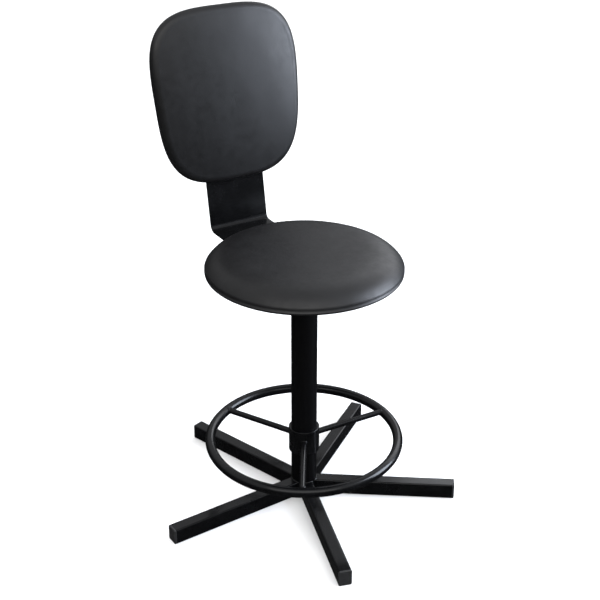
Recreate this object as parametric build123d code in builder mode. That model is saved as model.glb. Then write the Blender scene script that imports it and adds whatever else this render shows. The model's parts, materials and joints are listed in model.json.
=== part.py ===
from build123d import *
import math
import os

# Drafting chair: five-legged welded base, screw-lift seat, flat-strap backrest and sliding foot ring.
# Millimetres, +Z up. The origin is on the floor, on the column's axis. The sitter faces -Y.

# --- Driving dimensions ---------------------------------------------------------------------

# Base: a 2 in column with five 1 x 1 1/4 in box-section legs on a 24 in circle.
# LEG_TURNS are degrees from even spacing, since the legs are set by hand before they are welded.
COLUMN_OD = 50.8
COLUMN_WALL = 2.0
COLUMN_TOP = 460.7
LEG_W = 25.4
LEG_H = 31.8
LEG_WALL = 1.6
LEG_CORNER = 3.0
LEG_REACH = 304.8
FIRST_LEG_AZIMUTH = -106.9
LEG_TURNS = (0.0, -0.2, -1.2, -0.5, 1.65)
LEG_COUNT = len(LEG_TURNS)
CAP_FLANGE = 4.0
CAP_EDGE = 1.0
CAP_PLUG = 22.0
CAP_WALL = 2.5
PLUG_FLANGE = 3.0
PLUG_SPIGOT = 12.0

# Foot ring on its sliding collar
COLLAR_OD = 60.8
COLLAR_ID = 51.8
COLLAR_BOTTOM = 101.0
COLLAR_TOP = 154.0
COLLAR_EDGE = 1.0
RING_RADIUS = 187.3
RING_TUBE_R = 9.8
RING_TUBE_WALL = 1.5
RING_Z = 127.5
SPOKE_R = 6.0
SPOKE_Z = 130.0
SPOKE_COUNT = 3
FIRST_SPOKE_AZIMUTH = -122.2

# Clamp screw of the collar, opposite the first spoke
CLAMP_AZIMUTH = FIRST_SPOKE_AZIMUTH + 180.0
CLAMP_Z = 127.5
CLAMP_SCREW_R = 4.0
CLAMP_BOSS_R = 9.0
CLAMP_BOSS_LENGTH = 10.0
CLAMP_PAD_LENGTH = 3.0
CLAMP_PAD_GAP = 0.02
KNOB_R = 15.0
KNOB_LENGTH = 18.0
KNOB_STANDOFF = 4.0
KNOB_LOBES = 6
KNOB_SCALLOP_R = 6.0
KNOB_EDGE = 1.5
KNOB_SCREW_DEPTH = 12.0

# Screw lift
SPINDLE_R = 12.7
SPINDLE_STUD_R = 6.0
NUT_FLANGE = 3.0
NUT_CHAMFER = 0.75
NUT_SPIGOT = 35.0
LIFT_UP = 120.0
GUIDE_LENGTH = 20.0
GUIDE_CLEARANCE = 0.1
GUIDE_STOP_GAP = 0.5
STOP_WASHER_R = 14.0
STOP_WASHER_THICK = 2.5
STOP_NUT_ACROSS = 18.0
STOP_NUT_HEIGHT = 10.0
RUNNING_CLEARANCE = 0.05
END_FLOAT = 0.1

# Seat
SEAT_BOTTOM = 498.0
SEAT_EDGE_TOP = 507.5
SEAT_TOP = 532.0
SEAT_R = 186.0
SEAT_FLAT_R = 147.0
SEAT_BOARD_R = 179.0
SEAT_BOTTOM_ROUND = 2.5
BOARD_THICK = 12.0
COVER = 1.0
HEM_WIDTH = 24.0
PLATE_SIZE = 150.0
PLATE_CORNER = 12.0
PLATE_THICK = 5.0
SEAT_BOLT_HALF_X = 45.0
SEAT_BOLT_HALF_Y = 50.0

# Backrest support: one bent flat bar, 5 x 3/16 in
STRAP_W = 126.6
STRAP_THICK = 4.8
STRAP_CORNER_Y = 252.3
STRAP_TILT = 9.1
STRAP_BEND_R = 11.0
STRAP_FRONT_Y = -80.0
STRAP_UPRIGHT = 330.0
STRAP_END_ROUND = 12.0

# Backrest pad: a tapered superellipse, placed along the strap from its bend
PAD_CENTRE = 265.1
PAD_HALF_W = 154.7
PAD_HALF_H = 169.8
PAD_TAPER = 0.058
PAD_SQUARENESS = 3.41
PAD_OUTLINE_POINTS = 48
PAD_THICK = 32.0
PAD_CROWN_R = 1070.0
PAD_EDGE_ROUND = 12.0
BACK_BOLT_CENTRE = 255.0
BACK_BOLT_HALF_X = 40.0
BACK_BOLT_HALF_S = 35.0

# M8 fasteners of the seat and backrest
BOLT_R = 4.0
BOLT_HOLE_R = 4.3
BOLT_HEAD_ACROSS = 13.0
BOLT_HEAD = 5.3
BOLT_SHORT_OF_BOARD = 1.0
TEE_NUT_R = 5.0
TEE_NUT_FLANGE_R = 11.0
TEE_NUT_FLANGE = 1.4
TEE_NUT_LENGTH = 9.0

# --- Heights worked out from them -----------------------------------------------------------

COLUMN_R = COLUMN_OD / 2
COLUMN_BORE_R = COLUMN_R - COLUMN_WALL
STRAP_BOTTOM = SEAT_BOTTOM - STRAP_THICK
PLATE_BOTTOM = STRAP_BOTTOM - PLATE_THICK
GUIDE_TOP = COLUMN_TOP - NUT_SPIGOT - LIFT_UP - GUIDE_STOP_GAP
GUIDE_BOTTOM = GUIDE_TOP - GUIDE_LENGTH
STOP_WASHER_BOTTOM = GUIDE_BOTTOM - END_FLOAT - STOP_WASHER_THICK
STOP_NUT_BOTTOM = STOP_WASHER_BOTTOM - STOP_NUT_HEIGHT
STUD_BOTTOM = STOP_NUT_BOTTOM - 2 * END_FLOAT
SEAT_BOARD_TOP = SEAT_BOTTOM + COVER + BOARD_THICK
BACK_BOARD_FRONT = COVER + BOARD_THICK
CLAMP_SCREW_START = COLUMN_R + CLAMP_PAD_LENGTH + RUNNING_CLEARANCE
KNOB_START = COLLAR_OD / 2 + CLAMP_BOSS_LENGTH + KNOB_STANDOFF
STRAP_UP = Vector(0, math.sin(math.radians(STRAP_TILT)), math.cos(math.radians(STRAP_TILT)))
STRAP_FRONT = Vector(0, -STRAP_UP.Z, STRAP_UP.Y)
STRAP_CORNER = Vector(0, STRAP_CORNER_Y, SEAT_BOTTOM)
CORNER_SIGNS = [(-1, -1), (1, -1), (1, 1), (-1, 1)]
SEAT_BOLT_PLACES = [(x * SEAT_BOLT_HALF_X, y * SEAT_BOLT_HALF_Y) for x, y in CORNER_SIGNS]
BACK_BOLT_PLACES = [
    (x * BACK_BOLT_HALF_X, BACK_BOLT_CENTRE + y * BACK_BOLT_HALF_S) for x, y in CORNER_SIGNS
]

PART_FOLDER = "parts"
os.makedirs(PART_FOLDER, exist_ok=True)


def save(solid, name):
    """Label one finished piece and write it to its own file."""
    solid.label = name
    export_step(solid, f"{PART_FOLDER}/{name}.step")


def radial_plane(azimuth, radius, height):
    """Plane facing outward at this azimuth, with its Y axis up."""
    angle = math.radians(azimuth)
    outward = Vector(math.cos(angle), math.sin(angle), 0)
    tangent = Vector(-math.sin(angle), math.cos(angle), 0)
    return Plane(origin=outward * radius + Vector(0, 0, height), x_dir=tangent, z_dir=outward)


def strap_plane(along, forward):
    """Plane parallel to the strap's upright, facing the sitter, with its Y axis up the strap."""
    origin = STRAP_CORNER + STRAP_UP * along + STRAP_FRONT * forward
    return Plane(origin=origin, x_dir=(1, 0, 0), z_dir=STRAP_FRONT)


# --- Base -----------------------------------------------------------------------------------


def build_column():
    with BuildPart() as column:
        with BuildSketch(Plane.XY.offset(PLUG_FLANGE)):
            Circle(COLUMN_R)
            Circle(COLUMN_BORE_R, mode=Mode.SUBTRACT)
        extrude(amount=COLUMN_TOP - PLUG_FLANGE)
    save(column.part, "column_tube")


def build_column_plug():
    """Plastic plug in the foot of the column, flush with the undersides of the legs."""
    with BuildPart() as plug:
        with BuildSketch():
            Circle(COLUMN_R)
        extrude(amount=PLUG_FLANGE)
        with BuildSketch(Plane.XY.offset(PLUG_FLANGE)):
            Circle(COLUMN_BORE_R)
            Circle(COLUMN_BORE_R - CAP_WALL, mode=Mode.SUBTRACT)
        extrude(amount=PLUG_SPIGOT)
    save(plug.part, "column_plug")


def build_leg(number, azimuth):
    """Box-section leg with its inner end coped to the column."""
    start = COLUMN_R / 2
    with BuildPart() as leg:
        with BuildSketch(radial_plane(azimuth, start, LEG_H / 2)):
            RectangleRounded(LEG_W, LEG_H, LEG_CORNER)
            RectangleRounded(
                LEG_W - 2 * LEG_WALL, LEG_H - 2 * LEG_WALL, LEG_CORNER - LEG_WALL, mode=Mode.SUBTRACT
            )
        extrude(amount=LEG_REACH - CAP_FLANGE - start)
        with BuildSketch():
            Circle(COLUMN_R)
        extrude(amount=LEG_H, mode=Mode.SUBTRACT)
    save(leg.part, f"base_leg_{number}")


def build_leg_cap(number, azimuth):
    """Plastic end cap: a flange the size of the leg's section and a hollow plug inside the leg."""
    flange_start = LEG_REACH - CAP_FLANGE
    plug_w = LEG_W - 2 * LEG_WALL
    plug_h = LEG_H - 2 * LEG_WALL
    end_face = radial_plane(azimuth, LEG_REACH, LEG_H / 2)
    with BuildPart() as cap:
        with BuildSketch(radial_plane(azimuth, flange_start, LEG_H / 2)):
            RectangleRounded(LEG_W, LEG_H, LEG_CORNER)
        extrude(amount=CAP_FLANGE)
        outer_edges = cap.faces().sort_by_distance(end_face.origin)[0].edges()
        fillet(outer_edges, CAP_EDGE)
        with BuildSketch(radial_plane(azimuth, flange_start - CAP_PLUG, LEG_H / 2)):
            RectangleRounded(plug_w, plug_h, LEG_CORNER - LEG_WALL)
            Rectangle(plug_w - 2 * CAP_WALL, plug_h - 2 * CAP_WALL, mode=Mode.SUBTRACT)
        extrude(amount=CAP_PLUG)
    save(cap.part, f"leg_cap_{number}")


def build_spindle_nut():
    """Flanged steel nut fixed in the top of the column. Its thread is a plain running bore."""
    with BuildPart() as nut:
        with BuildSketch(Plane.XY.offset(COLUMN_TOP)):
            Circle(COLUMN_R)
        extrude(amount=NUT_FLANGE)
        chamfer(nut.edges().group_by(Axis.Z)[-1], NUT_CHAMFER)
        with BuildSketch(Plane.XY.offset(COLUMN_TOP - NUT_SPIGOT)):
            Circle(COLUMN_BORE_R)
        extrude(amount=NUT_SPIGOT)
        with BuildSketch(Plane.XY.offset(COLUMN_TOP - NUT_SPIGOT)):
            Circle(SPINDLE_R + RUNNING_CLEARANCE)
        extrude(amount=NUT_SPIGOT + NUT_FLANGE, mode=Mode.SUBTRACT)
    save(nut.part, "spindle_nut")


# --- Foot ring ------------------------------------------------------------------------------


def build_ring_collar():
    """Sleeve that slides on the column, drilled for the clamp screw."""
    with BuildPart() as collar:
        with BuildSketch(Plane.XY.offset(COLLAR_BOTTOM)):
            Circle(COLLAR_OD / 2)
            Circle(COLLAR_ID / 2, mode=Mode.SUBTRACT)
        extrude(amount=COLLAR_TOP - COLLAR_BOTTOM)
        rims = collar.edges().filter_by(GeomType.CIRCLE).group_by(SortBy.RADIUS)[-1]
        fillet(rims, COLLAR_EDGE)
        with BuildSketch(radial_plane(CLAMP_AZIMUTH, COLUMN_R, CLAMP_Z)):
            Circle(CLAMP_SCREW_R + RUNNING_CLEARANCE)
        extrude(amount=COLLAR_OD / 2, mode=Mode.SUBTRACT)
    save(collar.part, "ring_collar")


def build_foot_ring():
    """Round tube bent into a full circle."""
    with BuildPart() as ring:
        with Locations((0, 0, RING_Z)):
            Torus(RING_RADIUS, RING_TUBE_R)
            Torus(RING_RADIUS, RING_TUBE_R - RING_TUBE_WALL, mode=Mode.SUBTRACT)
    save(ring.part, "foot_ring")


def build_spoke(number, azimuth):
    """Round rod coped to the collar at one end and to the ring at the other."""
    with BuildPart() as spoke:
        with BuildSketch(radial_plane(azimuth, COLUMN_R, SPOKE_Z)):
            Circle(SPOKE_R)
        extrude(amount=RING_RADIUS - COLUMN_R)
        with BuildSketch(Plane.XY.offset(COLLAR_BOTTOM)):
            Circle(COLLAR_OD / 2)
        extrude(amount=COLLAR_TOP - COLLAR_BOTTOM, mode=Mode.SUBTRACT)
        with Locations((0, 0, RING_Z)):
            Torus(RING_RADIUS, RING_TUBE_R, mode=Mode.SUBTRACT)
    save(spoke.part, f"ring_spoke_{number}")


def build_clamp_boss():
    """Threaded boss welded to the collar."""
    with BuildPart() as boss:
        with BuildSketch(radial_plane(CLAMP_AZIMUTH, COLUMN_R, CLAMP_Z)):
            Circle(CLAMP_BOSS_R)
            Circle(CLAMP_SCREW_R + RUNNING_CLEARANCE, mode=Mode.SUBTRACT)
        extrude(amount=COLLAR_OD / 2 - COLUMN_R + CLAMP_BOSS_LENGTH)
        with BuildSketch(Plane.XY.offset(COLLAR_BOTTOM)):
            Circle(COLLAR_OD / 2)
        extrude(amount=COLLAR_TOP - COLLAR_BOTTOM, mode=Mode.SUBTRACT)
    save(boss.part, "clamp_boss")


def build_clamp_pad():
    """Plastic pad between the clamp screw and the column. It slides and doesn't turn."""
    with BuildPart() as pad:
        with BuildSketch(radial_plane(CLAMP_AZIMUTH, COLUMN_R / 2, CLAMP_Z)):
            Circle(CLAMP_SCREW_R - RUNNING_CLEARANCE)
        extrude(amount=COLUMN_R / 2 + CLAMP_PAD_LENGTH)
        with BuildSketch(Plane.XY.offset(COLLAR_BOTTOM)):
            Circle(COLUMN_R + CLAMP_PAD_GAP)
        extrude(amount=COLLAR_TOP - COLLAR_BOTTOM, mode=Mode.SUBTRACT)
    save(pad.part, "clamp_pad")


def build_clamp_screw():
    with BuildPart() as screw:
        with BuildSketch(radial_plane(CLAMP_AZIMUTH, CLAMP_SCREW_START, CLAMP_Z)):
            Circle(CLAMP_SCREW_R)
        extrude(amount=KNOB_START + KNOB_SCREW_DEPTH - CLAMP_SCREW_START)
    save(screw.part, "clamp_screw")


def build_clamp_knob():
    """Lobed plastic knob moulded on the clamp screw."""
    with BuildPart() as knob:
        with BuildSketch(radial_plane(CLAMP_AZIMUTH, KNOB_START, CLAMP_Z)):
            Circle(KNOB_R)
            with PolarLocations(KNOB_R + KNOB_SCALLOP_R / 2, KNOB_LOBES):
                Circle(KNOB_SCALLOP_R, mode=Mode.SUBTRACT)
        extrude(amount=KNOB_LENGTH)
        outer_face = radial_plane(CLAMP_AZIMUTH, KNOB_START + KNOB_LENGTH, CLAMP_Z)
        fillet(knob.faces().sort_by_distance(outer_face.origin)[0].edges(), KNOB_EDGE)
        with BuildSketch(radial_plane(CLAMP_AZIMUTH, KNOB_START, CLAMP_Z)):
            Circle(CLAMP_SCREW_R)
        extrude(amount=KNOB_SCREW_DEPTH, mode=Mode.SUBTRACT)
    save(knob.part, "clamp_knob")


# --- Screw lift -----------------------------------------------------------------------------


def build_spindle_guide():
    """Plastic bush on the spindle's foot. It slides in the column while the spindle turns in it."""
    with BuildPart() as guide:
        with BuildSketch(Plane.XY.offset(GUIDE_BOTTOM)):
            Circle(COLUMN_BORE_R - GUIDE_CLEARANCE)
            Circle(SPINDLE_STUD_R + RUNNING_CLEARANCE, mode=Mode.SUBTRACT)
        extrude(amount=GUIDE_LENGTH)
    save(guide.part, "spindle_guide")


def build_spindle():
    """Lift screw, welded under the seat plate. Its thread is a plain cylinder of the major diameter."""
    with BuildPart() as spindle:
        with BuildSketch(Plane.XY.offset(GUIDE_TOP + END_FLOAT)):
            Circle(SPINDLE_R)
        extrude(amount=PLATE_BOTTOM - GUIDE_TOP - END_FLOAT)
        with BuildSketch(Plane.XY.offset(STUD_BOTTOM)):
            Circle(SPINDLE_STUD_R)
        extrude(amount=GUIDE_TOP + END_FLOAT - STUD_BOTTOM)
    save(spindle.part, "lift_spindle")


def build_stop_washer():
    with BuildPart() as washer:
        with BuildSketch(Plane.XY.offset(STOP_WASHER_BOTTOM)):
            Circle(STOP_WASHER_R)
            Circle(SPINDLE_STUD_R, mode=Mode.SUBTRACT)
        extrude(amount=STOP_WASHER_THICK)
    save(washer.part, "stop_washer")


def build_stop_nut():
    """Nut under the guide. The guide meets the spindle nut when the seat is fully raised."""
    with BuildPart() as nut:
        with BuildSketch(Plane.XY.offset(STOP_NUT_BOTTOM)):
            RegularPolygon(STOP_NUT_ACROSS / 2, 6, major_radius=False)
            Circle(SPINDLE_STUD_R, mode=Mode.SUBTRACT)
        extrude(amount=STOP_NUT_HEIGHT)
    save(nut.part, "stop_nut")


# --- Seat -----------------------------------------------------------------------------------


def seat_body(inset):
    """Whole seat shape, or the space inside its cover: a disc whose top curves down to a low edge."""
    radius = SEAT_R - inset
    bottom = SEAT_BOTTOM + inset
    top = SEAT_TOP - inset
    with BuildPart() as body:
        with BuildSketch(Plane.XZ):
            with BuildLine():
                Polyline((SEAT_FLAT_R, top), (0, top), (0, bottom), (radius, bottom), (radius, SEAT_EDGE_TOP))
                TangentArc((SEAT_FLAT_R, top), (radius, SEAT_EDGE_TOP), tangent=(1, 0))
            make_face()
        revolve(axis=Axis.Z)
        lower_rim = body.edges().filter_by(GeomType.CIRCLE).sort_by(SortBy.LENGTH)[-2:].sort_by(Axis.Z)[0]
        fillet(lower_rim, SEAT_BOTTOM_ROUND - inset)
    return body.part


def build_seat_plate():
    """Steel plate welded on the spindle and bolted up through the strap into the seat board."""
    with BuildPart() as plate:
        with BuildSketch(Plane.XY.offset(PLATE_BOTTOM)):
            RectangleRounded(PLATE_SIZE, PLATE_SIZE, PLATE_CORNER)
            with Locations(*SEAT_BOLT_PLACES):
                Circle(BOLT_HOLE_R, mode=Mode.SUBTRACT)
        extrude(amount=PLATE_THICK)
    save(plate.part, "seat_plate")


def build_seat_board():
    """Plywood disc that carries the foam and the tee nuts."""
    with BuildPart() as board:
        with BuildSketch(Plane.XY.offset(SEAT_BOTTOM + COVER)):
            Circle(SEAT_BOARD_R)
            with Locations(*SEAT_BOLT_PLACES):
                Circle(TEE_NUT_R, mode=Mode.SUBTRACT)
        extrude(amount=BOARD_THICK)
    save(board.part, "seat_board")


def build_seat_foam():
    """Foam over the board and round its edge."""
    with BuildPart() as foam:
        add(seat_body(COVER))
        with BuildSketch(Plane.XY.offset(SEAT_BOTTOM + COVER)):
            Circle(SEAT_BOARD_R)
        extrude(amount=BOARD_THICK, mode=Mode.SUBTRACT)
        with BuildSketch(Plane.XY.offset(SEAT_BOARD_TOP)):
            with Locations(*SEAT_BOLT_PLACES):
                Circle(TEE_NUT_FLANGE_R)
        extrude(amount=TEE_NUT_FLANGE, mode=Mode.SUBTRACT)
    save(foam.part, "seat_foam")


def build_seat_cover():
    """Vinyl skin over the foam, turned in under the board as a flat hem."""
    outside = seat_body(0)
    inside = seat_body(COVER)
    with BuildPart() as cover:
        add(outside)
        add(inside, mode=Mode.SUBTRACT)
        with BuildSketch(Plane.XY.offset(SEAT_BOTTOM)):
            Circle(SEAT_R - HEM_WIDTH)
        extrude(amount=COVER, mode=Mode.SUBTRACT)
    save(cover.part, "seat_cover")


def build_seat_dust_cover():
    """Thin sheet under the board, inside the hem."""
    with BuildPart() as sheet:
        with BuildSketch(Plane.XY.offset(SEAT_BOTTOM)):
            Circle(SEAT_R - HEM_WIDTH)
            with Locations(*SEAT_BOLT_PLACES):
                Circle(BOLT_HOLE_R, mode=Mode.SUBTRACT)
        extrude(amount=COVER)
    save(sheet.part, "seat_dust_cover")


# --- Backrest -------------------------------------------------------------------------------


def pad_outline(inset):
    """Points of the pad's outline round its centre: a superellipse that widens towards the top."""
    half_w = PAD_HALF_W - inset
    half_h = PAD_HALF_H - inset
    points = []
    for step in range(PAD_OUTLINE_POINTS):
        angle = 2 * math.pi * step / PAD_OUTLINE_POINTS
        across = abs(math.cos(angle)) / half_w
        up = abs(math.sin(angle)) / half_h
        radius = (across**PAD_SQUARENESS + up**PAD_SQUARENESS) ** (-1 / PAD_SQUARENESS)
        y = radius * math.sin(angle)
        x = radius * math.cos(angle) * (1 + PAD_TAPER * y / half_h)
        points.append((x, y))
    return points


def pad_body(inset):
    """Whole backrest pad, or the space inside its cover: flat behind, crowned in front."""
    front = PAD_THICK - inset
    with BuildPart() as body:
        with BuildSketch(strap_plane(PAD_CENTRE, inset)):
            with BuildLine():
                Spline(*pad_outline(inset), periodic=True)
            make_face()
        extrude(amount=front - inset)
        crown = strap_plane(PAD_CENTRE, front - PAD_CROWN_R)
        with Locations(crown.origin):
            Sphere(PAD_CROWN_R, mode=Mode.INTERSECT)
        front_face = body.faces().sort_by_distance(strap_plane(PAD_CENTRE, front).origin)[0]
        fillet(front_face.edges(), PAD_EDGE_ROUND - inset)
    return body.part


def build_back_strap():
    """Flat bar: under the seat, bent up behind it and leaning back."""
    front = (STRAP_FRONT_Y, SEAT_BOTTOM)
    corner = (STRAP_CORNER_Y, SEAT_BOTTOM)
    top = STRAP_CORNER + STRAP_UP * STRAP_UPRIGHT
    with BuildPart() as strap:
        with BuildSketch(Plane.YZ):
            with BuildLine():
                FilletPolyline(front, corner, (top.Y, top.Z), radius=STRAP_BEND_R)
                offset(amount=STRAP_THICK, side=Side.RIGHT)
            make_face()
        extrude(amount=STRAP_W / 2, both=True)
        fillet(strap.edges().filter_by(Axis.Z), STRAP_END_ROUND)
        upper_end = strap.faces().sort_by(Axis.Z)[-1]
        fillet(upper_end.edges().filter_by(Axis.X, reverse=True), STRAP_END_ROUND)
        with BuildSketch(Plane.XY.offset(STRAP_BOTTOM)):
            with Locations(*SEAT_BOLT_PLACES):
                Circle(BOLT_HOLE_R)
        extrude(amount=STRAP_THICK, mode=Mode.SUBTRACT)
        with BuildSketch(strap_plane(0, -STRAP_THICK)):
            with Locations(*BACK_BOLT_PLACES):
                Circle(BOLT_HOLE_R)
        extrude(amount=STRAP_THICK, mode=Mode.SUBTRACT)
    save(strap.part, "back_strap")


def build_back_board():
    inside = pad_body(COVER)
    with BuildPart() as board:
        add(inside)
        split(bisect_by=strap_plane(0, BACK_BOARD_FRONT), keep=Keep.BOTTOM)
        with BuildSketch(strap_plane(0, COVER)):
            with Locations(*BACK_BOLT_PLACES):
                Circle(TEE_NUT_R)
        extrude(amount=BOARD_THICK, mode=Mode.SUBTRACT)
    save(board.part, "back_board")


def build_back_foam():
    inside = pad_body(COVER)
    with BuildPart() as foam:
        add(inside)
        split(bisect_by=strap_plane(0, BACK_BOARD_FRONT), keep=Keep.TOP)
        with BuildSketch(strap_plane(0, BACK_BOARD_FRONT)):
            with Locations(*BACK_BOLT_PLACES):
                Circle(TEE_NUT_FLANGE_R)
        extrude(amount=TEE_NUT_FLANGE, mode=Mode.SUBTRACT)
    save(foam.part, "back_foam")


def back_liner_outline():
    with BuildSketch(strap_plane(PAD_CENTRE, 0)) as outline:
        with BuildLine():
            Spline(*pad_outline(HEM_WIDTH), periodic=True)
        make_face()
    return outline.sketch


def build_back_cover():
    """Vinyl skin over the foam, turned in behind the board as a flat hem."""
    outside = pad_body(0)
    inside = pad_body(COVER)
    liner = back_liner_outline()
    with BuildPart() as cover:
        add(outside)
        add(inside, mode=Mode.SUBTRACT)
        extrude(liner, amount=COVER, mode=Mode.SUBTRACT)
    save(cover.part, "back_cover")


def build_back_liner():
    """Thin rear sheet inside the hem, behind the board."""
    liner = back_liner_outline()
    with BuildPart() as sheet:
        extrude(liner, amount=COVER)
        with BuildSketch(strap_plane(0, 0)):
            with Locations(*BACK_BOLT_PLACES):
                Circle(BOLT_HOLE_R)
        extrude(amount=COVER, mode=Mode.SUBTRACT)
    save(sheet.part, "back_liner")


# --- Fasteners ------------------------------------------------------------------------------


def build_bolts(name, head_plane, places, shank):
    """Group of hexagon-head bolts. The plane is at their heads' outer faces and faces the board."""
    with BuildPart() as bolts:
        with BuildSketch(head_plane):
            with Locations(*places):
                RegularPolygon(BOLT_HEAD_ACROSS / 2, 6, major_radius=False)
        extrude(amount=BOLT_HEAD)
        with BuildSketch(head_plane.offset(BOLT_HEAD)):
            with Locations(*places):
                Circle(BOLT_R)
        extrude(amount=shank)
    save(bolts.part, name)


def build_tee_nuts(name, board_face, places):
    """Group of tee nuts pressed into a board from its foam side. The plane is that face."""
    with BuildPart() as nuts:
        with BuildSketch(board_face):
            with Locations(*places):
                Circle(TEE_NUT_FLANGE_R)
        extrude(amount=TEE_NUT_FLANGE)
        with BuildSketch(board_face):
            with Locations(*places):
                Circle(TEE_NUT_R)
        extrude(amount=-TEE_NUT_LENGTH)
        with BuildSketch(board_face.offset(-TEE_NUT_LENGTH)):
            with Locations(*places):
                Circle(BOLT_R)
        extrude(amount=TEE_NUT_LENGTH + TEE_NUT_FLANGE, mode=Mode.SUBTRACT)
    save(nuts.part, name)


def build_fasteners():
    seat_shank = SEAT_BOARD_TOP - BOLT_SHORT_OF_BOARD - PLATE_BOTTOM
    build_bolts("seat_bolts", Plane.XY.offset(PLATE_BOTTOM - BOLT_HEAD), SEAT_BOLT_PLACES, seat_shank)
    build_tee_nuts("seat_tee_nuts", Plane.XY.offset(SEAT_BOARD_TOP), SEAT_BOLT_PLACES)
    back_shank = BACK_BOARD_FRONT - BOLT_SHORT_OF_BOARD + STRAP_THICK
    build_bolts("back_bolts", strap_plane(0, -STRAP_THICK - BOLT_HEAD), BACK_BOLT_PLACES, back_shank)
    build_tee_nuts("back_tee_nuts", strap_plane(0, BACK_BOARD_FRONT), BACK_BOLT_PLACES)


# --- The whole chair ------------------------------------------------------------------------

build_column()
build_column_plug()
for leg_number, leg_turn in enumerate(LEG_TURNS):
    leg_azimuth = FIRST_LEG_AZIMUTH + leg_number * 360 / LEG_COUNT + leg_turn
    build_leg(leg_number + 1, leg_azimuth)
    build_leg_cap(leg_number + 1, leg_azimuth)
build_spindle_nut()

build_ring_collar()
build_foot_ring()
for spoke_number in range(SPOKE_COUNT):
    build_spoke(spoke_number + 1, FIRST_SPOKE_AZIMUTH + spoke_number * 360 / SPOKE_COUNT)
build_clamp_boss()
build_clamp_pad()
build_clamp_screw()
build_clamp_knob()

build_spindle_guide()
build_spindle()
build_stop_washer()
build_stop_nut()

build_seat_plate()
build_seat_board()
build_seat_foam()
build_seat_cover()
build_seat_dust_cover()

build_back_strap()
build_back_board()
build_back_foam()
build_back_cover()
build_back_liner()
build_fasteners()
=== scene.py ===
import json
import math
import random

import bmesh
import bpy
from mathutils import Matrix, Vector, noise


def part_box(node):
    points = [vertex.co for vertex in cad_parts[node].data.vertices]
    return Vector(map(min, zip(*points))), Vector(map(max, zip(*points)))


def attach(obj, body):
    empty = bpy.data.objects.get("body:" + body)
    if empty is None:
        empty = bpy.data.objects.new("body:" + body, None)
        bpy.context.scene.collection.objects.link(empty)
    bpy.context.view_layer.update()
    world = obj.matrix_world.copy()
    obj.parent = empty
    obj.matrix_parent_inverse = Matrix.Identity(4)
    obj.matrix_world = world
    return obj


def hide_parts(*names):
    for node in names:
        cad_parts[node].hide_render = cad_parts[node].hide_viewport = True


# Drafting chair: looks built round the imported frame. Metres, +Z up, the sitter faces -Y.

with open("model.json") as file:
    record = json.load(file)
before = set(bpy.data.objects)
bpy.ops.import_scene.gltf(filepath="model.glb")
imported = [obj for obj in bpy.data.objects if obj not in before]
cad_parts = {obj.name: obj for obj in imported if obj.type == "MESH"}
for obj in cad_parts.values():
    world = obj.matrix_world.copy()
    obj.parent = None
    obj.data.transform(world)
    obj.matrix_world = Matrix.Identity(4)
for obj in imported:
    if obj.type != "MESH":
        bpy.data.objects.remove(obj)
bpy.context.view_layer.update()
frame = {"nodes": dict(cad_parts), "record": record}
MM = 0.001


# --- Sizes taken from the frame -------------------------------------------------------------

seat_low, seat_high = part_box("seat_cover")
SEAT_RADIUS = seat_high.x
SEAT_BOTTOM = seat_low.z
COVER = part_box("seat_board")[0].z - SEAT_BOTTOM
BOARD_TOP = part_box("seat_board")[1].z - SEAT_BOTTOM
HEM = SEAT_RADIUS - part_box("seat_dust_cover")[1].x
COLUMN_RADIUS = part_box("column_tube")[1].x
COLLAR_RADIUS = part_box("ring_collar")[1].x
LEG_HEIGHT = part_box("base_leg_1")[1].z
PLATE_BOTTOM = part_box("seat_plate")[0].z
SPINDLE_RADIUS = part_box("lift_spindle")[1].x
STRAP_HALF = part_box("back_strap")[1].x

ring_low, ring_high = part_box("foot_ring")
RING_TUBE = (ring_high.z - ring_low.z) / 2
RING_HEIGHT = (ring_high.z + ring_low.z) / 2
RING_RADIUS = ring_high.x - RING_TUBE


def centre_of(node):
    low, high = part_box(node)
    return (low + high) / 2


def rod_radius(node):
    """Radius of a rod that lies level."""
    low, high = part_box(node)
    return (high.z - low.z) / 2


def radial_frame(node):
    """Axes of a node that lies along a radius: X outward, Y sideways, Z up, from the column's axis."""
    centre = centre_of(node)
    return Matrix.Rotation(math.atan2(centre.y, centre.x), 4, "Z")


def pad_frame():
    """Axes of the backrest pad: X across, Y up the strap, Z out of its front, from its rear middle."""
    mesh = frame["nodes"]["back_liner"].data
    front = max(mesh.polygons, key=lambda face: face.area).normal.copy()
    if front.y > 0:
        front.negate()
    up = front.cross(Vector((1, 0, 0)))
    heights = [v.co.dot(up) for v in mesh.vertices]
    rear = min(v.co.dot(front) for v in mesh.vertices)
    origin = up * (min(heights) + max(heights)) / 2 + front * rear
    turn = Matrix(((1, 0, 0), up, front)).transposed()
    return Matrix.Translation(origin) @ turn.to_4x4()


# --- Mesh helpers ---------------------------------------------------------------------------


def new_piece(name, points, faces, merge=False):
    """Smooth mesh object from points and faces, with its normals facing out."""
    mesh = bpy.data.meshes.new(name)
    mesh.from_pydata([tuple(p) for p in points], [], faces)
    shape = bmesh.new()
    shape.from_mesh(mesh)
    if merge:
        bmesh.ops.remove_doubles(shape, verts=shape.verts, dist=1e-6)
        bmesh.ops.dissolve_degenerate(shape, dist=1e-6, edges=shape.edges)
    bmesh.ops.recalc_face_normals(shape, faces=shape.faces)
    shape.to_mesh(mesh)
    shape.free()
    mesh.polygons.foreach_set("use_smooth", [True] * len(mesh.polygons))
    piece = bpy.data.objects.new(name, mesh)
    bpy.context.scene.collection.objects.link(piece)
    return piece


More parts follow.
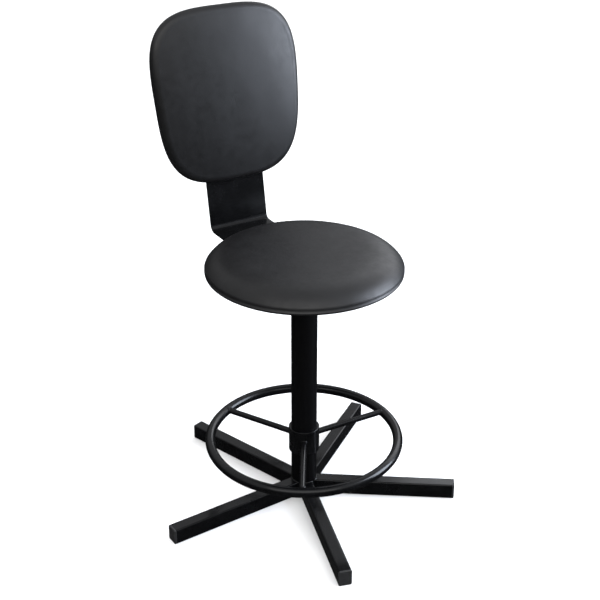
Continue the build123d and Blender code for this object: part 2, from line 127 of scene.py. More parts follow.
def grid_faces(rows, around, closed_rows=False):
    """Quads between neighbouring rows of points, each row closed round. The last may join the first."""
    faces = []
    for row in range(rows if closed_rows else rows - 1):
        low = row * around
        high = (row + 1) % rows * around
        for column in range(around):
            after = (column + 1) % around
            faces.append((low + column, low + after, high + after, high + column))
    return faces


def finish_piece(piece, body, slot, *nodes):
    """Give a new piece its material and body, and hide the CAD nodes that it stands for."""
    piece.data.materials.clear()
    piece.data.materials.append(MATERIALS[slot])
    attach(piece, body)
    if nodes:
        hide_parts(*nodes)
    return piece


# --- Materials ------------------------------------------------------------------------------


class Shader:
    """A principled material with object coordinates, built up node by node."""

    def __init__(self, name, **sockets):
        self.material = bpy.data.materials.new(name)
        self.material.use_nodes = True
        self.tree = self.material.node_tree
        self.surface = self.tree.nodes["Principled BSDF"]
        self.place = self.node("ShaderNodeTexCoord").outputs["Object"]
        self.height = None
        for socket, value in sockets.items():
            self.surface.inputs[socket.replace("_", " ")].default_value = value

    def node(self, kind, **settings):
        made = self.tree.nodes.new(kind)
        for key, value in settings.items():
            setattr(made, key, value)
        return made

    def link(self, output, target):
        self.tree.links.new(output, target)

    def noise(self, scale, detail=3.0, roughness=0.55, stretch=(1, 1, 1)):
        """Noise with this many features to the metre."""
        mapping = self.node("ShaderNodeMapping")
        mapping.inputs["Scale"].default_value = stretch
        self.link(self.place, mapping.inputs["Vector"])
        texture = self.node("ShaderNodeTexNoise")
        texture.inputs["Scale"].default_value = scale
        texture.inputs["Detail"].default_value = detail
        texture.inputs["Roughness"].default_value = roughness
        self.link(mapping.outputs["Vector"], texture.inputs["Vector"])
        return texture.outputs["Fac"]

    def cells(self, scale, feature="DISTANCE_TO_EDGE", randomness=1.0):
        """Cell pattern with this many cells to the metre."""
        texture = self.node("ShaderNodeTexVoronoi", feature=feature)
        texture.inputs["Scale"].default_value = scale
        texture.inputs["Randomness"].default_value = randomness
        self.link(self.place, texture.inputs["Vector"])
        return texture.outputs["Distance"]

    def ramp(self, value, low, high, start, end):
        """Map a value from low-high to start-end."""
        made = self.node("ShaderNodeMapRange")
        for socket, number in zip(("From Min", "From Max", "To Min", "To Max"), (low, high, start, end)):
            made.inputs[socket].default_value = number
        self.link(value, made.inputs["Value"])
        return made.outputs["Result"]

    def colour(self, value, low, dark, high, light):
        """Base colour that runs from dark at low to light at high."""
        made = self.node("ShaderNodeValToRGB")
        first, last = made.color_ramp.elements
        first.position = low
        first.color = (*dark, 1)
        last.position = high
        last.color = (*light, 1)
        self.link(value, made.inputs["Fac"])
        self.link(made.outputs["Color"], self.surface.inputs["Base Color"])

    def roughness(self, value, low, high, start, end):
        self.link(self.ramp(value, low, high, start, end), self.surface.inputs["Roughness"])

    def bump(self, value, distance, strength=1.0):
        """Add one more layer of relief. distance is its height in metres."""
        made = self.node("ShaderNodeBump")
        made.inputs["Distance"].default_value = distance
        made.inputs["Strength"].default_value = strength
        self.link(value, made.inputs["Height"])
        if self.height is not None:
            self.link(self.height, made.inputs["Normal"])
        self.height = made.outputs["Normal"]
        self.link(self.height, self.surface.inputs["Normal"])


def gloss_paint():
    """Black enamel with a faint orange-peel surface and fine dust."""
    shader = Shader("gloss_black_paint", Specular_IOR_Level=0.22, Coat_Weight=0.12, Coat_Roughness=0.1)
    shader.colour(shader.noise(35), 0.35, (0.0016, 0.0017, 0.0019), 0.7, (0.0032, 0.0033, 0.0038))
    shader.roughness(shader.noise(18, detail=5), 0.3, 0.7, 0.19, 0.3)
    shader.bump(shader.noise(260, detail=1), 0.00008, 0.35)
    shader.bump(shader.noise(1800, detail=2), 0.00002, 0.25)
    return shader.material


def satin_paint():
    """Duller black of the column, rubbed up and down by the foot ring's collar."""
    shader = Shader("satin_black_paint", Specular_IOR_Level=0.08)
    streaks = shader.noise(60, stretch=(1, 1, 0.08))
    shader.colour(streaks, 0.3, (0.0016, 0.0016, 0.0018), 0.75, (0.003, 0.003, 0.0034))
    shader.roughness(shader.noise(90, detail=5, stretch=(1, 1, 0.05)), 0.3, 0.7, 0.34, 0.48)
    shader.bump(shader.noise(900, detail=2), 0.00004, 0.3)
    return shader.material


def vinyl():
    """Black upholstery vinyl with a fine pebbled grain."""
    shader = Shader("black_vinyl", Specular_IOR_Level=0.42)
    shader.colour(shader.noise(28, detail=6), 0.3, (0.0038, 0.0038, 0.0041), 0.72, (0.0056, 0.0056, 0.0061))
    shader.roughness(shader.noise(70, detail=5), 0.3, 0.7, 0.4, 0.49)
    shader.bump(shader.cells(620), 0.00012, 0.5)
    shader.bump(shader.noise(2200, detail=3), 0.00005, 0.4)
    shader.bump(shader.noise(55, detail=2), 0.0006, 0.12)
    return shader.material


def liner_cloth():
    """Black non-woven lining with its pressed dot pattern."""
    shader = Shader("black_liner", Roughness=0.95, Sheen_Weight=0.15)
    shader.colour(shader.noise(900, detail=6), 0.3, (0.008, 0.008, 0.008), 0.7, (0.022, 0.022, 0.022))
    shader.bump(shader.cells(700, feature="F1", randomness=0.1), 0.00015, 0.6)
    return shader.material


def black_plastic():
    """Moulded black plastic with a fine matt texture."""
    shader = Shader("black_plastic")
    shader.colour(shader.noise(120, detail=4), 0.3, (0.012, 0.012, 0.0125), 0.7, (0.018, 0.018, 0.019))
    shader.roughness(shader.noise(200, detail=4), 0.3, 0.7, 0.42, 0.58)
    shader.bump(shader.cells(2600), 0.00003, 0.4)
    return shader.material


def white_plastic():
    """Natural slippery plastic, a little translucent and scuffed."""
    shader = Shader("white_plastic", Subsurface_Weight=0.1)
    shader.colour(shader.noise(80, detail=4), 0.3, (0.62, 0.6, 0.54), 0.7, (0.74, 0.72, 0.66))
    shader.roughness(shader.noise(300, detail=4), 0.3, 0.7, 0.35, 0.5)
    shader.bump(shader.noise(900, detail=2), 0.00003, 0.4)
    return shader.material


def machined_steel():
    """Oiled turned steel with fine tool marks round its axis."""
    shader = Shader("machined_steel", Metallic=1.0)
    shader.colour(shader.noise(70, detail=5), 0.3, (0.2, 0.195, 0.185), 0.7, (0.36, 0.355, 0.34))
    shader.roughness(shader.noise(240, detail=4), 0.3, 0.7, 0.22, 0.42)
    shader.bump(shader.noise(60, detail=3, stretch=(1, 1, 60)), 0.00003, 0.35)
    return shader.material


def zinc_steel():
    """Bright zinc plating with faint cloudy patches."""
    shader = Shader("zinc_plated_steel", Metallic=1.0)
    shader.colour(shader.noise(150, detail=5), 0.3, (0.42, 0.42, 0.4), 0.7, (0.6, 0.6, 0.57))
    shader.roughness(shader.noise(400, detail=4), 0.3, 0.7, 0.25, 0.42)
    shader.bump(shader.noise(1500, detail=2), 0.00002, 0.3)
    return shader.material


def plywood():
    """Raw plywood: long grain on its faces and thin darker glue lines at its edge."""
    shader = Shader("plywood", Roughness=0.7)
    grain = shader.noise(50, detail=6, stretch=(1, 0.08, 9))
    shader.colour(grain, 0.3, (0.4, 0.27, 0.15), 0.7, (0.62, 0.46, 0.29))
    shader.bump(shader.noise(120, detail=4, stretch=(1, 0.06, 1)), 0.0001, 0.4)
    return shader.material


def foam():
    """Open-cell upholstery foam."""
    shader = Shader("foam", Roughness=0.95)
    shader.colour(shader.cells(900), 0.05, (0.3, 0.25, 0.12), 0.4, (0.7, 0.62, 0.4))
    shader.bump(shader.cells(900), 0.0004, 0.7)
    return shader.material


MATERIALS = {
    "gloss_black_paint": gloss_paint(),
    "satin_black_paint": satin_paint(),
    "black_vinyl": vinyl(),
    "black_liner": liner_cloth(),
    "black_plastic": black_plastic(),
    "white_plastic": white_plastic(),
    "machined_steel": machined_steel(),
    "zinc_plated_steel": zinc_steel(),
    "plywood": plywood(),
    "foam": foam(),
}


def paint_nodes():
    """Put the finished materials on the CAD nodes."""
    for subpart in frame["record"]["subparts"]:
        mesh = frame["nodes"][subpart["node"]].data
        if not mesh.materials:
            mesh.materials.append(None)
        for index in range(len(mesh.materials)):
            mesh.materials[index] = MATERIALS[subpart["material_slot"]]


# --- Padded pieces --------------------------------------------------------------------------

AROUND = 288
TOP_ROWS = 32
EDGE_ROWS = 20
LIP_ROWS = 6
HEM_ROWS = 9
BOARD_ROWS = 4
LIP_ROUND = 3.0 * MM
PLEAT_DEPTH = 0.9 * MM
PLEAT_WANDER = 3
PLEAT_UNEVENNESS = 4
STRAP_MARGIN = 6 * MM

SEAT_WALL = 10.5 * MM
SEAT_DOME = 26 * MM
SEAT_DOME_POWER = 10
SEAT_CROWN = 2 * MM
SEAT_EDGE_WIDTH = 36 * MM
SEAT_EDGE_SPACING = 1.5
SEAT_CREASE = 1.5 * MM
SEAT_SAG = 1.8 * MM
SEAT_PLEATS = 52

PAD_HALF_W = 154.7 * MM
PAD_HALF_H = 169.8 * MM
PAD_TAPER = 0.058
PAD_SQUARENESS = 3.41
PAD_THICK = 31 * MM
PAD_CROWN_RADIUS = 1070 * MM
PAD_SHOULDER_WIDTH = 14 * MM
PAD_SHOULDER_HEIGHT = 12 * MM
PAD_SAG = 0.8 * MM
PAD_PLEATS = 34

SWELL_FRAMES = 20
SWELL_PRESSURE = 4.0
SWELL_QUALITY = 6
STRETCH_STIFFNESS = 25
SHEAR_STIFFNESS = 12
BENDING_STIFFNESS = 4
SWELL_LIMIT = 1.6 * MM
EVEN_PASSES = 30
UNEVEN_HEIGHT = 0.25 * MM
UNEVEN_SIZE = 45 * MM


def seat_outline(angle, inset):
    return Vector((math.cos(angle), math.sin(angle))) * (SEAT_RADIUS - inset)


def seat_height(place):
    """Height of the seat's dome over its underside, before the vinyl swells."""
    share = place.length / SEAT_RADIUS
    return SEAT_WALL + SEAT_DOME * (1 - share**SEAT_DOME_POWER) + SEAT_CROWN * (1 - share**2)


def seat_edge():
    """Inset and drop of points down the outer part of the dome, over the crease and down the wall.

    Their spacing tightens towards the crease.
    """
    start = seat_height(Vector((SEAT_RADIUS - SEAT_EDGE_WIDTH, 0)))
    edge = []
    for step in range(EDGE_ROWS - 1):
        share = (1 - step / (EDGE_ROWS - 2)) ** SEAT_EDGE_SPACING
        inset = SEAT_CREASE + (SEAT_EDGE_WIDTH - SEAT_CREASE) * share
        edge.append((inset, start - seat_height(Vector((SEAT_RADIUS - inset, 0)))))
    edge.append((0, start - SEAT_WALL + SEAT_CREASE))
    edge.append((0, start - LIP_ROUND))
    return edge


def pad_outline(angle, inset):
    """Tapered superellipse, the same one that the backrest's CAD pieces have."""
    half_w = PAD_HALF_W - inset
    half_h = PAD_HALF_H - inset
    across = abs(math.cos(angle)) / half_w
    up = abs(math.sin(angle)) / half_h
    radius = (across**PAD_SQUARENESS + up**PAD_SQUARENESS) ** (-1 / PAD_SQUARENESS)
    y = radius * math.sin(angle)
    return Vector((radius * math.cos(angle) * (1 + PAD_TAPER * y / half_h), y))


def pad_height(place):
    return PAD_THICK - place.length_squared / (2 * PAD_CROWN_RADIUS)


def pad_edge():
    """Inset and drop of points down the backrest pad's shoulder, to its rim."""
    edge = []
    for step in range(EDGE_ROWS + 1):
        turn = math.pi / 2 * step / EDGE_ROWS
        inset = PAD_SHOULDER_WIDTH * (1 - math.sin(turn))
        edge.append((inset, PAD_SHOULDER_HEIGHT * (1 - math.cos(turn))))
    return edge


def off_strap(place, strap_side):
    """0 where the strap lies against the hem and 1 clear of it, so that the hem is flat there."""
    if place.y * strap_side < 0:
        return 1.0
    return min(1.0, max(0.0, (abs(place.x) - STRAP_HALF - STRAP_MARGIN) / STRAP_MARGIN))


def pleat(angle, pleats):
    """Depth of the hem's gathers at this angle, from 0 to 1, unevenly spaced."""
    spot = Vector((PLEAT_UNEVENNESS * math.cos(angle), PLEAT_UNEVENNESS * math.sin(angle), 0))
    return 0.5 + 0.5 * math.cos(pleats * angle + PLEAT_WANDER * noise.noise(spot))


def pad_rows(outline, height, edge, sag, pleats, strap_side):
    """Rows of points of a cover on its board, and how freely each row gives, from 0 to 1.

    They run out over the top, down the edge, round the lip, in along the hem, and back inside round the
    board. The edge is the inset and drop of each of its rows.
    """
    top_inset = edge[0][0]
    angles = [2 * math.pi * step / AROUND for step in range(AROUND)]
    rows = []

    def add_row(give, place_at):
        rows.append((give, [place_at(angle) for angle in angles]))

    def top_row(share):
        def place_at(angle):
            place = outline(angle, top_inset) * share
            return place.to_3d() + Vector((0, 0, height(place)))

        add_row(1.0, place_at)

    def edge_row(inset, drop, give):
        def place_at(angle):
            up = height(outline(angle, top_inset)) - drop
            return outline(angle, inset).to_3d() + Vector((0, 0, up))

        add_row(give, place_at)

    def lip_row(turn):
        def place_at(angle):
            place = outline(angle, LIP_ROUND * (1 - math.cos(turn)))
            droop = sag * math.sin(turn) * off_strap(place, strap_side)
            return place.to_3d() + Vector((0, 0, LIP_ROUND * (1 - math.sin(turn)) - droop))

        add_row(0.0, place_at)

    def hem_row(share):
        def place_at(angle):
            place = outline(angle, LIP_ROUND + (HEM - LIP_ROUND) * share)
            gather = PLEAT_DEPTH * pleat(angle, pleats) * math.sin(math.pi * min(share, 0.5))
            droop = (sag * (1 - share) ** 2 + gather) * off_strap(place, strap_side)
            return place.to_3d() - Vector((0, 0, droop))

        add_row(0.0, place_at)

    def inner_row(inset, up, share=1.0):
        add_row(0.0, lambda angle: (outline(angle, inset) * share).to_3d() + Vector((0, 0, up)))

    for step in range(1, TOP_ROWS + 1):
        top_row(step / TOP_ROWS)
    for step in range(1, EDGE_ROWS + 1):
        inset, drop = edge[step]
        edge_row(inset, drop, 1 - step / EDGE_ROWS)
    for step in range(LIP_ROWS + 1):
        lip_row(math.pi / 2 * step / LIP_ROWS)
    for step in range(1, HEM_ROWS + 1):
        hem_row(step / HEM_ROWS)
    inner_row(HEM, COVER)
    inner_row(LIP_ROUND, COVER)
    inner_row(LIP_ROUND, BOARD_TOP)
    for step in range(1, BOARD_ROWS):
        inner_row(LIP_ROUND, BOARD_TOP, 1 - step / BOARD_ROWS)
    return rows


def build_pad(name, rows, top, place):
    """Closed cover and foam from its rows, swollen and softened, then put in its place."""
    points = [spot for give, row in rows for spot in row]
    gives = [give for give, row in rows for spot in row]
    faces = grid_faces(len(rows), AROUND)
    top_middle = len(points)
    last_row = (len(rows) - 1) * AROUND
    points += [Vector((0, 0, top)), Vector((0, 0, BOARD_TOP))]
    gives += [1.0, 0.0]
    for column in range(AROUND):
        after = (column + 1) % AROUND
        faces.append((top_middle, column, after))
        faces.append((top_middle + 1, last_row + after, last_row + column))
    piece = new_piece(name, points, faces)
    swell(piece, gives)
    soften(piece, gives)
    piece.data.transform(place)
    return piece


def swell(piece, gives):
    """Cloth simulation of the vinyl stretched over its foam, held fast where it doesn't give."""
    held = piece.vertex_groups.new(name="held")
    for index, give in enumerate(gives):
        held.add([index], 1 - give, "REPLACE")
    cloth = piece.modifiers.new("swell", "CLOTH")
    cloth.settings.quality = SWELL_QUALITY
    cloth.settings.use_pressure = True
    cloth.settings.uniform_pressure_force = SWELL_PRESSURE
    cloth.settings.tension_stiffness = STRETCH_STIFFNESS
    cloth.settings.compression_stiffness = STRETCH_STIFFNESS
    cloth.settings.shear_stiffness = SHEAR_STIFFNESS
    cloth.settings.bending_stiffness = BENDING_STIFFNESS
    cloth.settings.vertex_group_mass = "held"
    cloth.settings.effector_weights.gravity = 0
    cloth.collision_settings.use_collision = False
    for step in range(1, SWELL_FRAMES + 1):
        bpy.context.scene.frame_set(step)
    swollen = piece.evaluated_get(bpy.context.evaluated_depsgraph_get())
    moves = [end.co - start.co for start, end in zip(piece.data.vertices, swollen.data.vertices)]
    moves = even_out(moves)
    piece.modifiers.remove(cloth)
    piece.vertex_groups.clear()
    bpy.context.scene.frame_set(1)
    for vertex, give, move in zip(piece.data.vertices, gives, moves):
        if give > 0 and move.length > 0:
            vertex.co += move.normalized() * SWELL_LIMIT * math.tanh(move.length / SWELL_LIMIT)


def even_out(moves):
    """Average the moves of neighbouring points, so that the stretched vinyl has no puckers.

    The last two points are the middles of the top and of the board.
    """
    grid = moves[:-2]
    rows = len(grid) // AROUND
    for _ in range(EVEN_PASSES):
        last = grid
        grid = []
        for index, move in enumerate(last):
            row, column = divmod(index, AROUND)
            before = last[row * AROUND + (column - 1) % AROUND]
            after = last[row * AROUND + (column + 1) % AROUND]
            inner = last[max(0, row - 1) * AROUND + column]
            outer = last[min(rows - 1, row + 1) * AROUND + column]
            grid.append((before + after + inner + outer + move) / 5)
    middle = sum(grid[:AROUND], Vector((0, 0, 0))) / AROUND
    return grid + [middle, Vector((0, 0, 0))]


def soften(piece, gives):
    """Faint unevenness of the foam under its vinyl, along the surface's own normals."""
    moves = [v.normal * noise.noise(v.co / UNEVEN_SIZE) * UNEVEN_HEIGHT for v in piece.data.vertices]
    for vertex, give, move in zip(piece.data.vertices, gives, moves):
        vertex.co += move * give


def add_seat_pad():
    rows = pad_rows(seat_outline, seat_height, seat_edge(), SEAT_SAG, SEAT_PLEATS, 1)
    place = Matrix.Translation((0, 0, SEAT_BOTTOM))
    piece = build_pad("seat_pad", rows, seat_height(Vector((0, 0))), place)
    finish_piece(piece, "seat", "black_vinyl", "seat_cover", "seat_foam")


def add_back_pad():
    rows = pad_rows(pad_outline, pad_height, pad_edge(), PAD_SAG, PAD_PLEATS, -1)
    piece = build_pad("back_pad", rows, pad_height(Vector((0, 0))), pad_frame())
    finish_piece(piece, "seat", "black_vinyl", "back_cover", "back_foam")


# --- Staples --------------------------------------------------------------------------------

STAPLE_HALF = 5 * MM
STAPLE_WIRE = 0.55 * MM
STAPLE_INSET = 17 * MM
STAPLE_SINK = 1.5 * MM
STAPLE_TILT = 0.3
STAPLE_SHIFT = 0.2
SEAT_STAPLES = 44
BACK_STAPLES = 38
OUTLINE_STEP = 0.01


def add_staples(name, outline, count, strap_side, place):
    """Ring of upholstery staples through the hem, except where the strap covers it."""
    chance = random.Random(count)
    points = []
    faces = []
    for step in range(count):
        angle = 2 * math.pi * (step + chance.uniform(-STAPLE_SHIFT, STAPLE_SHIFT)) / count
        tilt = chance.uniform(-STAPLE_TILT, STAPLE_TILT)
        spot = outline(angle, STAPLE_INSET)
        if off_strap(spot, strap_side) < 1:
            continue
        along = (outline(angle + OUTLINE_STEP, STAPLE_INSET) - spot).normalized().to_3d()
        along.rotate(Matrix.Rotation(tilt, 3, "Z"))
        wire = []
        for across, down in ((-1, -STAPLE_SINK), (-1, PLEAT_DEPTH), (1, PLEAT_DEPTH), (1, -STAPLE_SINK)):
            wire.append(spot.to_3d() + along * across * STAPLE_HALF - Vector((0, 0, down)))
        more_points, more_faces = tube(wire, [STAPLE_WIRE] * len(wire))
        faces += [tuple(index + len(points) for index in face) for face in more_faces]
        points += more_points
    piece = new_piece(name, points, faces)
    piece.data.transform(place)
    finish_piece(piece, "seat", "zinc_plated_steel")


# --- Screw threads --------------------------------------------------------------------------

THREAD_ROWS = 8
THREAD_AROUND = 48
THREAD_CREST_HALF = 0.25
THREAD_FLANK = 0.125
SPINDLE_LEAD = 6 * MM
SPINDLE_THREAD_DEPTH = 2.6 * MM
SPINDLE_STUD_RADIUS = 6 * MM
SPINDLE_STUD_CHAMFER = 1 * MM
SPINDLE_GUIDE_GAP = 0.1 * MM
CLAMP_LEAD = 1.25 * MM
CLAMP_THREAD_DEPTH = 0.75 * MM


def thread_rows(radius, depth, lead, start, end):
    """Rows of points along a right-hand thread, with flat crests and roots and slanting flanks between.

    The crest's half width and the flank's width are shares of the lead.
    """
    rows = []
    first = math.floor(start / lead - 1) * THREAD_ROWS
    last = math.ceil(end / lead + 1) * THREAD_ROWS
    for row in range(first, last + 1):
        phase = row % THREAD_ROWS / THREAD_ROWS
        rise = (THREAD_CREST_HALF + THREAD_FLANK - abs(phase - 0.5)) / THREAD_FLANK
        rise = min(1.0, max(0.0, rise))
        places = []
        for column in range(THREAD_AROUND + 1):
            turn = column / THREAD_AROUND
            height = min(end, max(start, (row / THREAD_ROWS + turn) * lead))
            reach = radius - depth * (1 - rise)
            angle = 2 * math.pi * turn
            places.append(Vector((reach * math.cos(angle), reach * math.sin(angle), height)))
        rows.append(places)
    return rows


def threaded_rod(name, radius, depth, lead, start, end):
    """Closed rod with a real thread between two heights on the Z axis."""
    rows = thread_rows(radius, depth, lead, start, end)
    points = [place for row in rows for place in row]
    width = THREAD_AROUND + 1
    faces = []
    for row in range(len(rows) - 1):
        for column in range(THREAD_AROUND):
            low = row * width + column
            faces.append((low, low + 1, low + width + 1, low + width))
    for row, height in ((0, start), (len(rows) - 1, end)):
        middle = len(points)
        points.append(Vector((0, 0, height)))
        for column in range(THREAD_AROUND):
            faces.append((middle, row * width + column, row * width + column + 1))
    return new_piece(name, points, faces, merge=True)


def add_spindle():
    """Lift screw with its real thread, and the plain stud that carries the guide and the stop nut."""
    low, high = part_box("lift_spindle")
    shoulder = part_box("spindle_guide")[1].z + SPINDLE_GUIDE_GAP
    screw = threaded_rod("lift_screw", SPINDLE_RADIUS, SPINDLE_THREAD_DEPTH, SPINDLE_LEAD, shoulder, high.z)
    finish_piece(screw, "seat", "machined_steel", "lift_spindle")
    stud_rows = [
        (0, low.z),
        (SPINDLE_STUD_RADIUS - SPINDLE_STUD_CHAMFER, low.z),
        (SPINDLE_STUD_RADIUS, low.z + SPINDLE_STUD_CHAMFER),
        (SPINDLE_STUD_RADIUS, shoulder),
        (0, shoulder),
    ]
    points = []
    for reach, height in stud_rows:
        for column in range(THREAD_AROUND):
            angle = 2 * math.pi * column / THREAD_AROUND
            points.append(Vector((reach * math.cos(angle), reach * math.sin(angle), height)))
    stud = new_piece("lift_screw_stud", points, grid_faces(len(stud_rows), THREAD_AROUND), merge=True)
    finish_piece(stud, "seat", "machined_steel")


def add_clamp_screw():
    """Clamp screw with its real thread, along the radius of the clamp."""
    turn = radial_frame("clamp_screw")
    reaches = [(turn.inverted() @ v.co).x for v in frame["nodes"]["clamp_screw"].data.vertices]
    radius = rod_radius("clamp_screw")
    screw = threaded_rod("clamp_thread", radius, CLAMP_THREAD_DEPTH, CLAMP_LEAD, min(reaches), max(reaches))
    outward = Matrix.Rotation(math.pi / 2, 4, "Y")
    height = Matrix.Translation((0, 0, centre_of("clamp_screw").z))
    screw.data.transform(height @ turn @ outward)
    finish_piece(screw, "clamp_screw_set", "machined_steel", "clamp_screw")


# --- Welds ----------------------------------------------------------------------------------

TUBE_SIDES = 10
WELD_STEPS = 64
WELD_PITCH = 2.6 * MM
WELD_RIPPLE = 0.09
WELD_UNEVEN = 0.3
WELD_PATCH = 9 * MM
LEG_WELD = 2.3 * MM
LEG_WELD_DOWN = 13 * MM
LEG_HALF = 12.7 * MM
LEG_CORNER = 3 * MM
LEG_CORNER_STEPS = 5
LEG_SIDE_STEPS = 10
LEG_TOP_STEPS = 20
SPOKE_WELD = 1.7 * MM
BOSS_WELD = 1.6 * MM
PLATE_WELD = 1.8 * MM
LEG_COUNT = 5
SPOKE_COUNT = 3


def tube(path, radii, closed=False):
    """Points and faces of a round tube along a path, with a radius for each of its points."""
    points = []
    count = len(path)
    side = None
    for step, (place, radius) in enumerate(zip(path, radii)):
        before = path[step - 1] if closed or step > 0 else place
        after = path[(step + 1) % count] if closed or step < count - 1 else place
        along = (after - before).normalized()
        side = along.orthogonal() if side is None else side
        side = (side - along * side.dot(along)).normalized()
        up = along.cross(side)
        for corner in range(TUBE_SIDES):
            angle = 2 * math.pi * corner / TUBE_SIDES
            points.append(place + (side * math.cos(angle) + up * math.sin(angle)) * radius)
    faces = grid_faces(count, TUBE_SIDES, closed)
    if not closed:
        faces.append(tuple(range(TUBE_SIDES)))
        faces.append(tuple(range((count - 1) * TUBE_SIDES, count * TUBE_SIDES)))
    return points, faces


def add_weld(name, path, radius, body, closed=True):
    """Painted weld bead along a path, rippled as it was laid."""
    radii = []
    travelled = 0.0
    for step, place in enumerate(path):
        travelled += (place - path[step - 1]).length if step else 0.0
        ripple = WELD_RIPPLE * math.sin(2 * math.pi * travelled / WELD_PITCH)
        radii.append(radius * (1 + ripple + WELD_UNEVEN * noise.noise(place / WELD_PATCH)))
    points, faces = tube(path, radii, closed)
    piece = new_piece(name, points, faces)
    finish_piece(piece, body, "gloss_black_paint")


def loop_on_cylinder(node, loop_radius, wall_radius):
    """Loop round a radial rod where it meets an upright cylinder."""
    turn = radial_frame(node)
    height = centre_of(node).z
    path = []
    for step in range(WELD_STEPS):
        angle = 2 * math.pi * step / WELD_STEPS
        sideways = loop_radius * math.cos(angle)
        reach = math.sqrt(wall_radius**2 - sideways**2)
        path.append(turn @ Vector((reach, sideways, height + loop_radius * math.sin(angle))))
    return path


def loop_on_ring(node, loop_radius):
    """Loop round a spoke where it meets the inside of the foot ring."""
    turn = radial_frame(node)
    height = centre_of(node).z
    path = []
    for step in range(WELD_STEPS):
        angle = 2 * math.pi * step / WELD_STEPS
        sideways = loop_radius * math.cos(angle)
        up = height + loop_radius * math.sin(angle)
        inner = RING_RADIUS - math.sqrt(max(0.0, RING_TUBE**2 - (up - RING_HEIGHT) ** 2))
        path.append(turn @ Vector((math.sqrt(inner**2 - sideways**2), sideways, up)))
    return path


def leg_section():
    """Sideways place and height of points up one side of a leg, over its top and down the other."""
    flat = LEG_HALF - LEG_CORNER
    corner = [math.pi / 2 * step / LEG_CORNER_STEPS for step in range(LEG_CORNER_STEPS + 1)]
    section = []
    for step in range(LEG_SIDE_STEPS):
        section.append((-LEG_HALF, LEG_HEIGHT - LEG_WELD_DOWN + step * MM))
    for angle in corner:
        drop = LEG_CORNER * (1 - math.sin(angle))
        section.append((-flat - LEG_CORNER * math.cos(angle), LEG_HEIGHT - drop))
    for step in range(1, LEG_TOP_STEPS):
        section.append((-flat + 2 * flat * step / LEG_TOP_STEPS, LEG_HEIGHT))
    for angle in corner:
        drop = LEG_CORNER * (1 - math.cos(angle))
        section.append((flat + LEG_CORNER * math.sin(angle), LEG_HEIGHT - drop))
    for step in range(1, LEG_SIDE_STEPS + 1):
        section.append((LEG_HALF, LEG_HEIGHT - LEG_CORNER - step * MM))
    return section


def saddle_over_leg(node):
    """Path over a leg where it meets the column."""
    turn = radial_frame(node)
    path = []
    for sideways, height in leg_section():
        reach = math.sqrt(COLUMN_RADIUS**2 - sideways**2)
        path.append(turn @ Vector((reach, sideways, height)))
    return path


def add_leg_welds():
    for number in range(1, LEG_COUNT + 1):
        path = saddle_over_leg(f"base_leg_{number}")
        add_weld(f"leg_weld_{number}", path, LEG_WELD, "base", closed=False)


def add_footrest_welds():
    for number in range(1, SPOKE_COUNT + 1):
        spoke = f"ring_spoke_{number}"
        radius = rod_radius(spoke)
        inner = loop_on_cylinder(spoke, radius, COLLAR_RADIUS)
        add_weld(f"spoke_collar_weld_{number}", inner, SPOKE_WELD, "footrest")
        add_weld(f"spoke_ring_weld_{number}", loop_on_ring(spoke, radius), SPOKE_WELD, "footrest")
    boss = loop_on_cylinder("clamp_boss", rod_radius("clamp_boss"), COLLAR_RADIUS)
    add_weld("boss_weld", boss, BOSS_WELD, "footrest")


def add_plate_weld():
    """Bead round the spindle where it meets the underside of the seat's plate."""
    circle = []
    for step in range(WELD_STEPS):
        angle = 2 * math.pi * step / WELD_STEPS
        x = math.cos(angle) * SPINDLE_RADIUS
        y = math.sin(angle) * SPINDLE_RADIUS
        circle.append(Vector((x, y, PLATE_BOTTOM)))
    add_weld("plate_weld", circle, PLATE_WELD, "seat")


# --- Camera, light and floor ----------------------------------------------------------------

FILM_WIDTH = 36.0
FOCAL_LENGTH = 69.093
CAMERA_DISTANCE = 1936.7 * MM
CAMERA_HEIGHT = 1413.9 * MM
CAMERA_AZIMUTH = math.radians(-121.33)
CAMERA_PITCH = 0.460677
CAMERA_YAW = -0.001796
CAMERA_ROLL = -0.001560
SHIFT_ACROSS = -0.004227
SHIFT_UP = -0.015098
AIM_HEIGHT = 450 * MM
FLOOR_HALF = 14.0
SUN_ENERGY = 2.5
SUN_ANGLE = math.radians(100)
ROOM_LOW_RISE = 0.1
ROOM_HIGH_RISE = 0.6
ROOM_LOW = 0.03
ROOM_HIGH = 0.75


def add_camera():
    """Camera at the viewing angle of the picture being matched, with its framing in a small shift."""
    data = bpy.data.cameras.new("camera")
    data.sensor_width = FILM_WIDTH
    data.lens = FOCAL_LENGTH
    data.shift_x = SHIFT_ACROSS
    data.shift_y = SHIFT_UP
    camera = bpy.data.objects.new("camera", data)
    bpy.context.scene.collection.objects.link(camera)
    heading = CAMERA_AZIMUTH + math.pi / 2 - CAMERA_YAW
    turn = Matrix.Rotation(heading, 4, "Z") @ Matrix.Rotation(math.pi / 2 - CAMERA_PITCH, 4, "X")
    x = CAMERA_DISTANCE * math.cos(CAMERA_AZIMUTH)
    y = CAMERA_DISTANCE * math.sin(CAMERA_AZIMUTH)
    place = Vector((x, y, CAMERA_HEIGHT))
    camera.matrix_world = Matrix.Translation(place) @ turn @ Matrix.Rotation(-CAMERA_ROLL, 4, "Z")
    bpy.context.scene.camera = camera


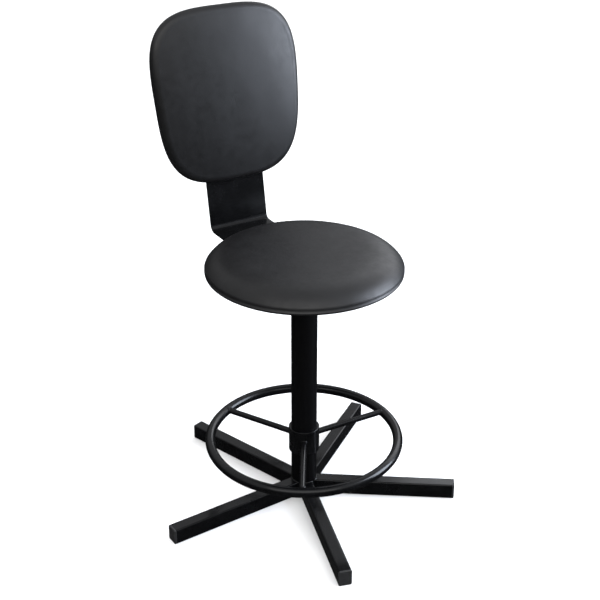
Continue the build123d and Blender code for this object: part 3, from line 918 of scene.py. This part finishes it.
def add_panel(name, azimuth, distance, height, width, tall, power, colour):
    """Soft rectangular light that faces the chair's middle. The azimuth is counted from the camera's."""
    data = bpy.data.lights.new(name, "AREA")
    data.shape = "RECTANGLE"
    data.size = width
    data.size_y = tall
    data.energy = power
    data.color = colour
    lamp = bpy.data.objects.new(name, data)
    bpy.context.scene.collection.objects.link(lamp)
    angle = CAMERA_AZIMUTH + math.radians(azimuth)
    place = Vector((distance * math.cos(angle), distance * math.sin(angle), height))
    target = Vector((0, 0, AIM_HEIGHT))
    lamp.location = place
    lamp.rotation_euler = (target - place).to_track_quat("-Z", "Y").to_euler()


def add_sun():
    """Very soft light from above for the floor. Nothing glossy mirrors it."""
    data = bpy.data.lights.new("sky", "SUN")
    data.energy = SUN_ENERGY
    data.angle = SUN_ANGLE
    lamp = bpy.data.objects.new("sky", data)
    lamp.visible_glossy = False
    bpy.context.scene.collection.objects.link(lamp)


def add_room():
    """Surroundings that are pale overhead and dim near the horizon."""
    world = bpy.data.worlds.new("studio")
    world.use_nodes = True
    tree = world.node_tree
    backdrop = tree.nodes["Background"]
    backdrop.inputs["Color"].default_value = (0.96, 0.97, 1.0, 1)
    place = tree.nodes.new("ShaderNodeTexCoord")
    split = tree.nodes.new("ShaderNodeSeparateXYZ")
    tree.links.new(place.outputs["Generated"], split.inputs["Vector"])
    strength = tree.nodes.new("ShaderNodeMapRange")
    strength.inputs["From Min"].default_value = ROOM_LOW_RISE
    strength.inputs["From Max"].default_value = ROOM_HIGH_RISE
    strength.inputs["To Min"].default_value = ROOM_LOW
    strength.inputs["To Max"].default_value = ROOM_HIGH
    tree.links.new(split.outputs["Z"], strength.inputs["Value"])
    tree.links.new(strength.outputs["Result"], backdrop.inputs["Strength"])
    bpy.context.scene.world = world
    bpy.context.scene.view_settings.view_transform = "Standard"


def add_studio():
    """Pale floor, the room round it and large soft lights."""
    add_room()
    half = FLOOR_HALF
    corners = [(-half, -half, 0), (half, -half, 0), (half, half, 0), (-half, half, 0)]
    floor = new_piece("floor", corners, [(0, 1, 2, 3)])
    shader = Shader("floor", Roughness=0.95, Specular_IOR_Level=0.1)
    shader.colour(shader.noise(3), 0.3, (0.86, 0.86, 0.86), 0.7, (0.9, 0.9, 0.9))
    floor.data.materials.append(shader.material)
    floor.visible_glossy = False

    add_sun()
    add_panel(
        "softbox_front",
        azimuth=0,
        distance=2.4,
        height=2.8,
        width=4.2,
        tall=2.2,
        power=46,
        colour=(1.0, 0.99, 0.97),
    )
    add_panel(
        "window_right",
        azimuth=94,
        distance=2.4,
        height=1.25,
        width=1.3,
        tall=1.7,
        power=110,
        colour=(0.8, 0.87, 1.0),
    )
    add_panel(
        "window_behind",
        azimuth=146,
        distance=3.0,
        height=1.9,
        width=2.6,
        tall=1.4,
        power=32,
        colour=(0.93, 0.95, 1.0),
    )


# --- Making it all --------------------------------------------------------------------------

add_camera()
add_studio()
paint_nodes()
add_seat_pad()
add_back_pad()
add_staples("seat_staples", seat_outline, SEAT_STAPLES, 1, Matrix.Translation((0, 0, SEAT_BOTTOM)))
add_staples("back_staples", pad_outline, BACK_STAPLES, -1, pad_frame())
add_spindle()
add_clamp_screw()
add_leg_welds()
add_footrest_welds()
add_plate_weld()
